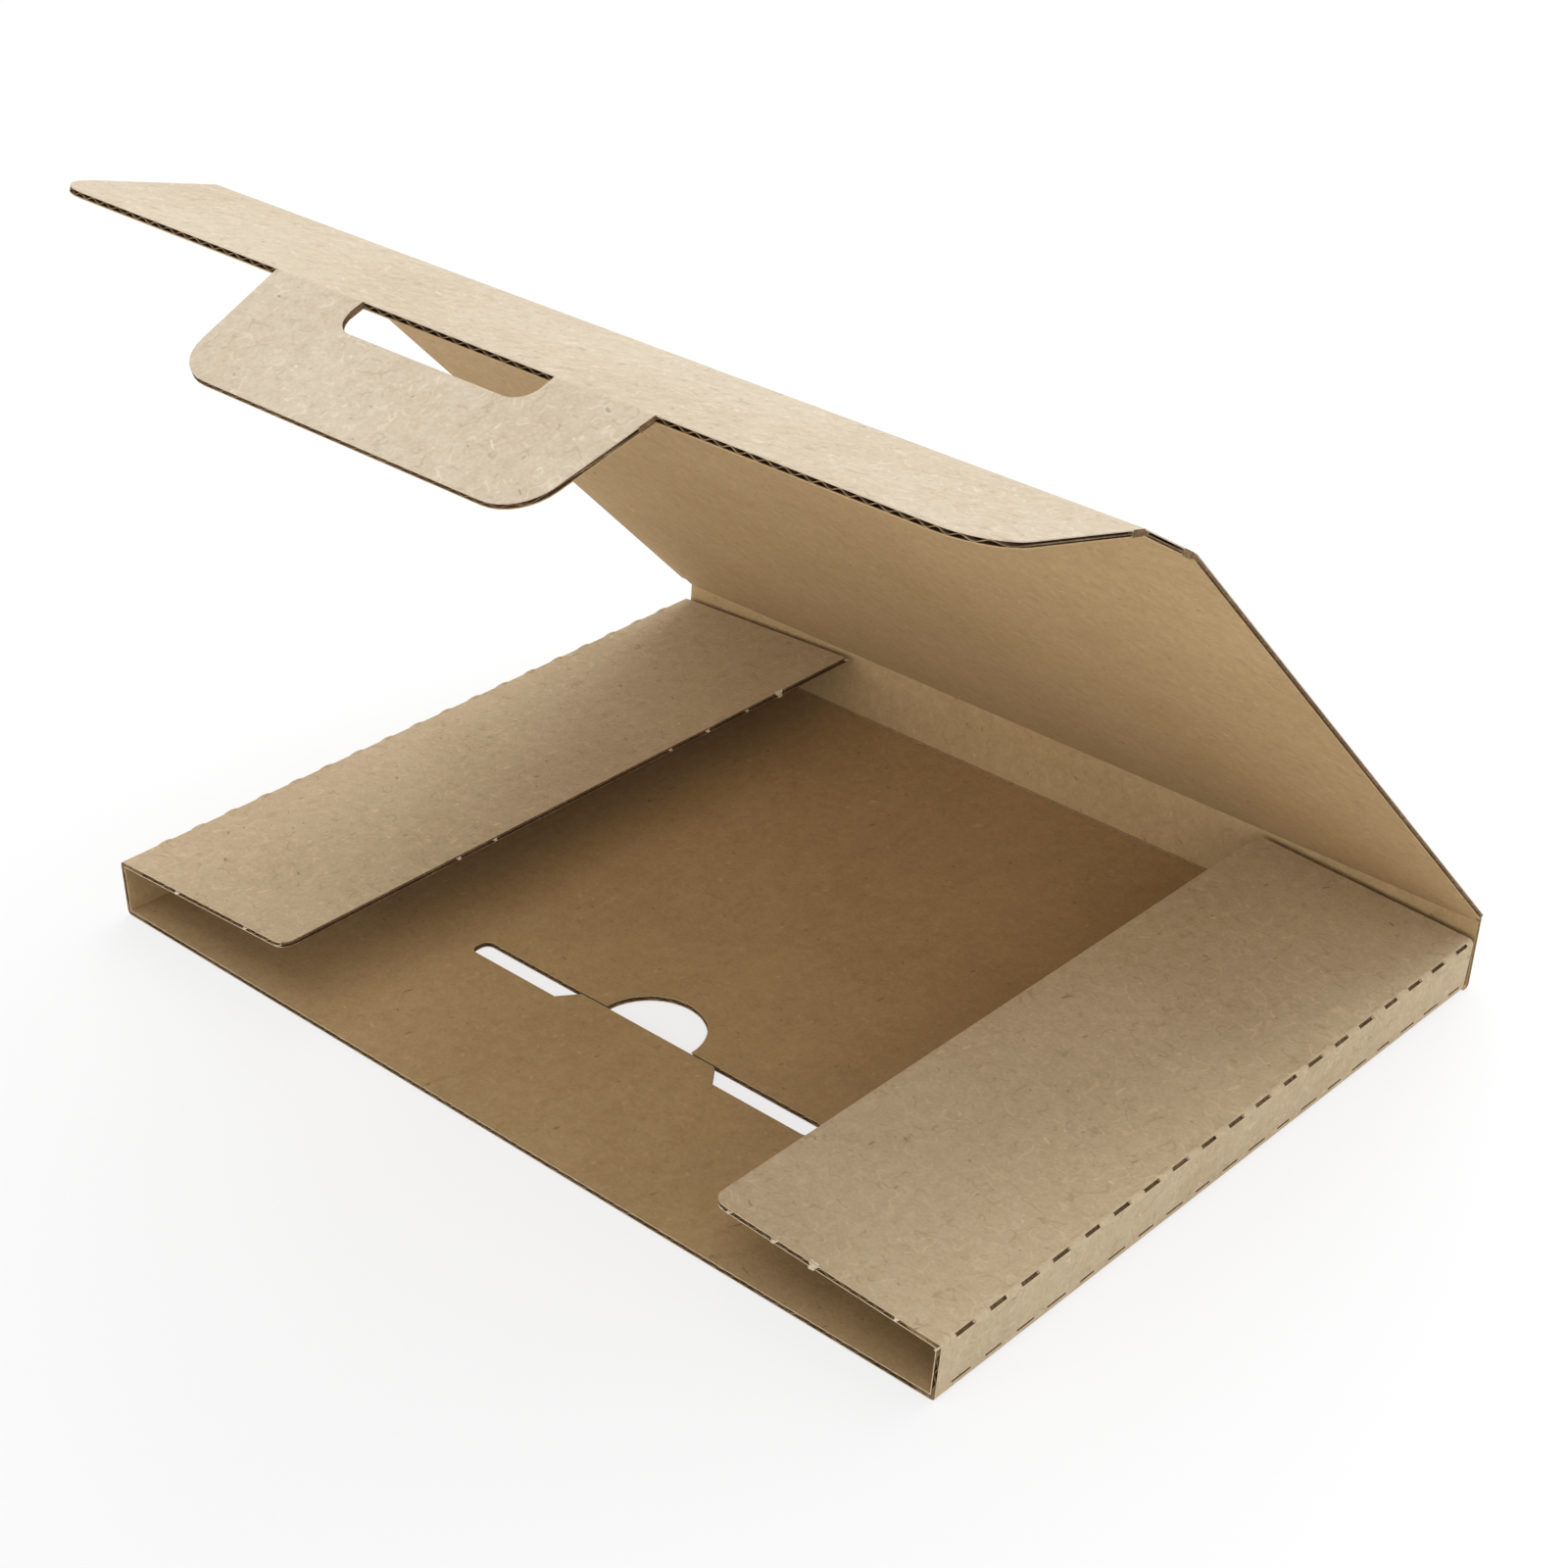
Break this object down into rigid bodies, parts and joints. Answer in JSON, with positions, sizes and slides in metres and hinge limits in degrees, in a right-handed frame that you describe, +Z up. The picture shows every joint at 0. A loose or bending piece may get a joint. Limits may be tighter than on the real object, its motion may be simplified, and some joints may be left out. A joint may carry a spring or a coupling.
{
  "type": "folding card mailer box",
  "caption": "Flat mailer box folded from one sheet of thin fluted card, with a raised hinged lid, side flaps, a closing flap, a slotted lock tab and a finger notch.",
  "frame": {"origin": "middle of the base's underside, on the surface the box lies on", "axes": "+Z up, +Y towards the lid's hinge, +X to the right as seen from the open front"},
  "size_m": [0.1944, 0.1739, 0.1394],
  "materials": {
    "kraft_card": "matte"
  },
  "bodies": {
    "tray": {"tray": "kraft_card"},
    "lid": {"lid": "kraft_card"},
    "front_panel": {"front_panel": "kraft_card"},
    "closing_flap": {"closing_flap": "kraft_card"},
    "lock_tab": {"lock_tab": "kraft_card"}
  },
  "joints": [
    {"name": "lid_hinge", "type": "hinge", "parent": "tray", "child": "lid", "pos_m": [0, 0.07479, 0.01383], "axis": [-1, 0, 0], "range_deg": [-45.9, 134.1]},
    {"name": "front_panel_fold", "type": "hinge", "parent": "lid", "child": "front_panel", "pos_m": [0, -0.0298, 0.12175], "axis": [1, 0, 0], "range_deg": [-13.7, 76.3]},
    {"name": "closing_flap_fold", "type": "hinge", "parent": "front_panel", "child": "closing_flap", "pos_m": [0, -0.04175, 0.12928], "axis": [1, 0, 0], "range_deg": [-17, 73]},
    {"name": "lock_tab_fold", "type": "hinge", "parent": "closing_flap", "child": "lock_tab", "pos_m": [0, -0.07495, 0.1383], "axis": [1, 0, 0], "range_deg": [-34.5, 0]}
  ]
}
